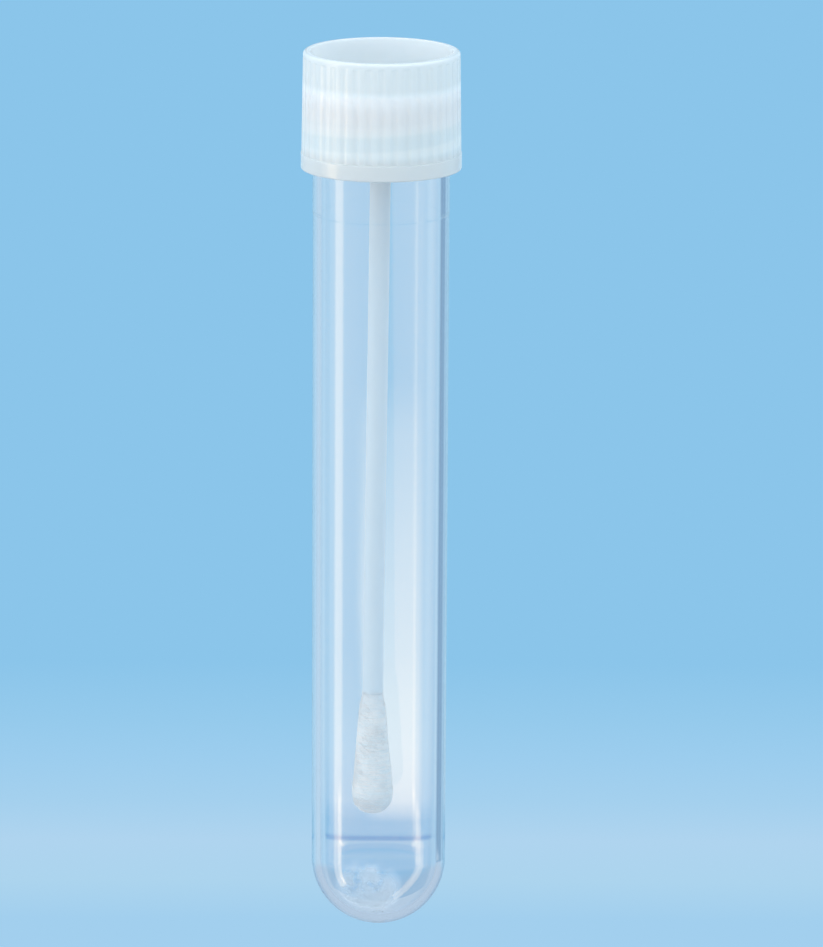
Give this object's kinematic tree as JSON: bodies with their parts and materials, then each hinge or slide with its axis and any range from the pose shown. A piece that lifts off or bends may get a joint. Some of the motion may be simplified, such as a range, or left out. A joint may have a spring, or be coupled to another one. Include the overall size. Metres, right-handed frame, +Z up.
{
  "type": "specimen swab tube",
  "caption": "Clear round-ended tube with a ribbed screw cap that carries a swab: a stick with a wound fibre bud that reaches down inside.",
  "frame": {"origin": "centre of the bounding box's bottom: the middle of the ring-shaped face of the cap's rim, on which the closed tube stands upside down", "axes": "+Z up, from the cap towards the tube's round end, along the tube's axis; +X level, the side to which the swab's stick leans; +Y level. The tube can't stand on its round end and would roll on its side, so it stands on its cap."},
  "size_m": [0.0194, 0.0194, 0.107],
  "materials": {
    "clear_plastic": "clear, polished polystyrene",
    "milky_plastic": "natural polyethylene, translucent, satin",
    "white_plastic": "smooth, faintly translucent",
    "wound_fibre": "soft white fibre wound round the stick"
  },
  "bodies": {
    "cap_and_swab": {"screw_cap": "milky_plastic", "swab_shaft": "white_plastic", "swab_bud": "wound_fibre"},
    "tube_body": {"tube": "clear_plastic"}
  },
  "joints": [
    {"name": "tube_lift", "type": "slide", "parent": "cap_and_swab", "child": "tube_body", "axis": [0, 0, 1], "range_m": [0, 0.1]}
  ]
}
